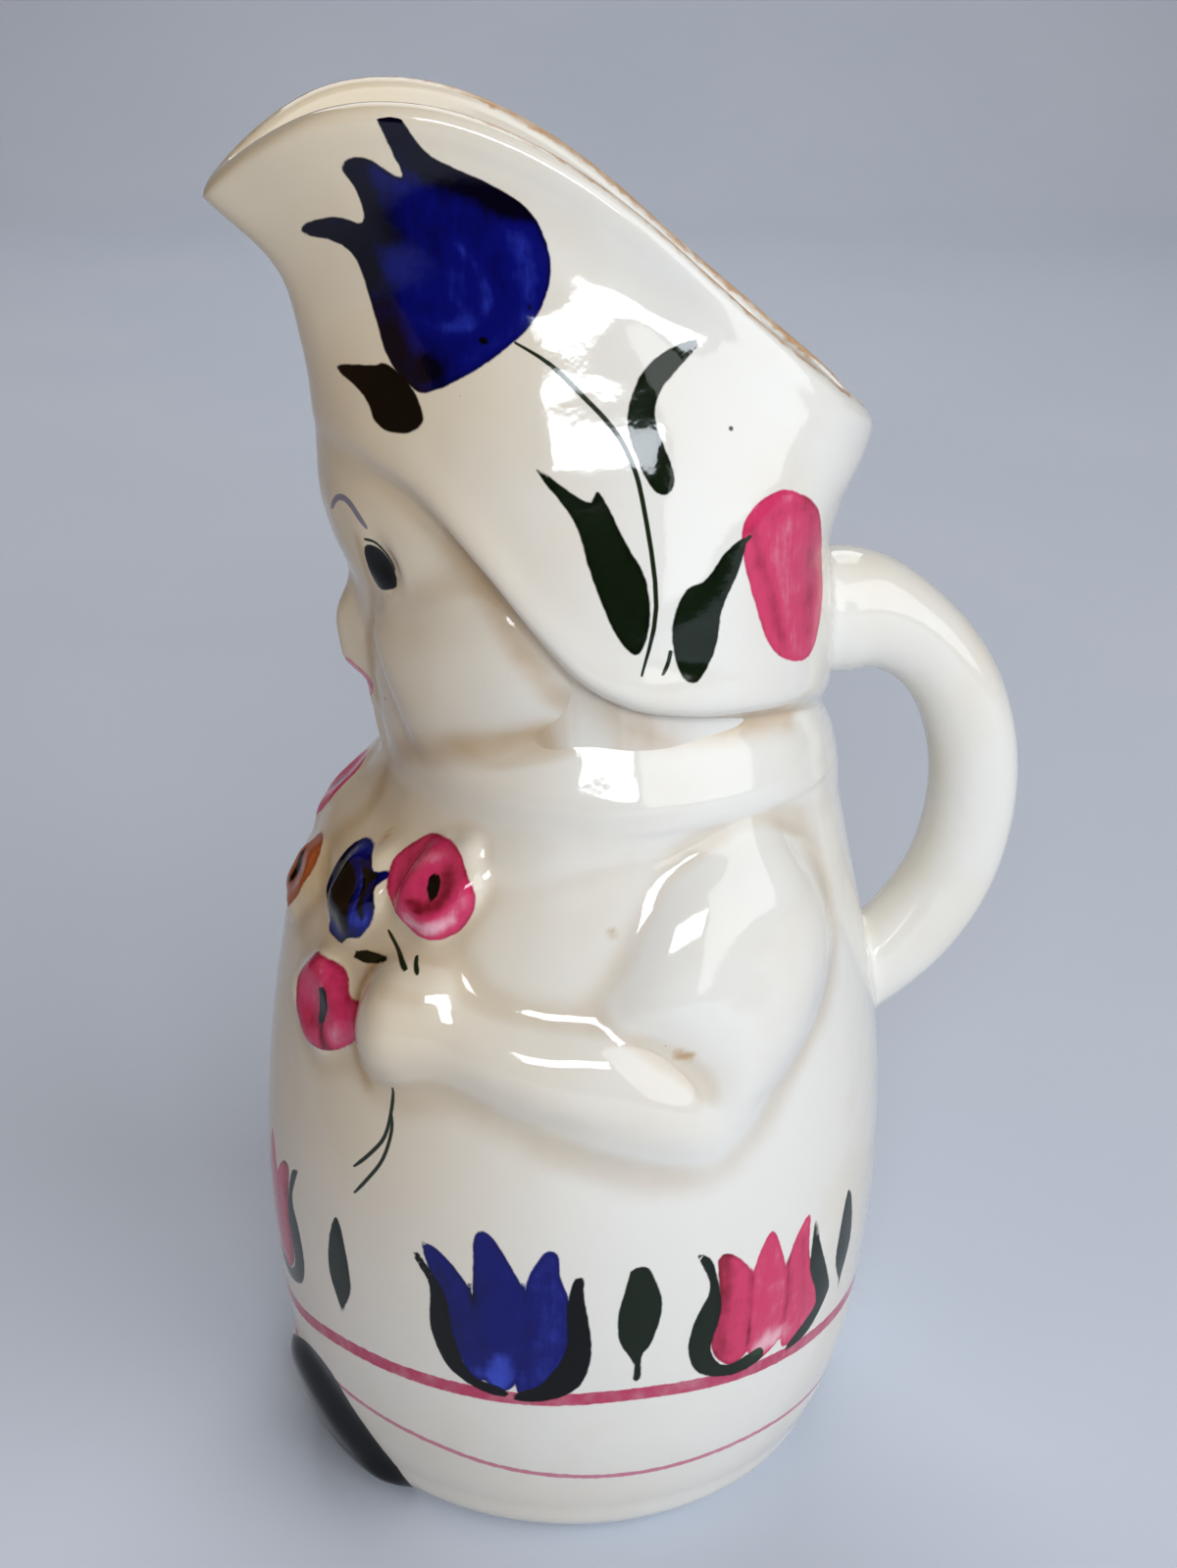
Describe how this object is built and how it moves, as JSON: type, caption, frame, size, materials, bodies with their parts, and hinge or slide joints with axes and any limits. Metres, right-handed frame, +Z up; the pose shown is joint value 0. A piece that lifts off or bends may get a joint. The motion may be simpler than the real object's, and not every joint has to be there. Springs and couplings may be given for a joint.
{
  "type": "pitcher",
  "caption": "Hollow pottery pitcher shaped as a standing doll in a wide bonnet, with a pouring beak, a bouquet in raised relief and a loop handle at the back.",
  "frame": {"origin": "centre of the flat foot that the pitcher stands on", "axes": "+Z up along the pitcher's height, -Y where the figure looks and the beak pours, +Y where the handle is, +X to the figure's left hand"},
  "size_m": [0.117, 0.1438, 0.2517],
  "materials": {
    "glazed_pottery": "clear gloss glaze over cream earthenware, hand-painted"
  },
  "bodies": {
    "root": {"pitcher": "glazed_pottery"}
  },
  "joints": []
}
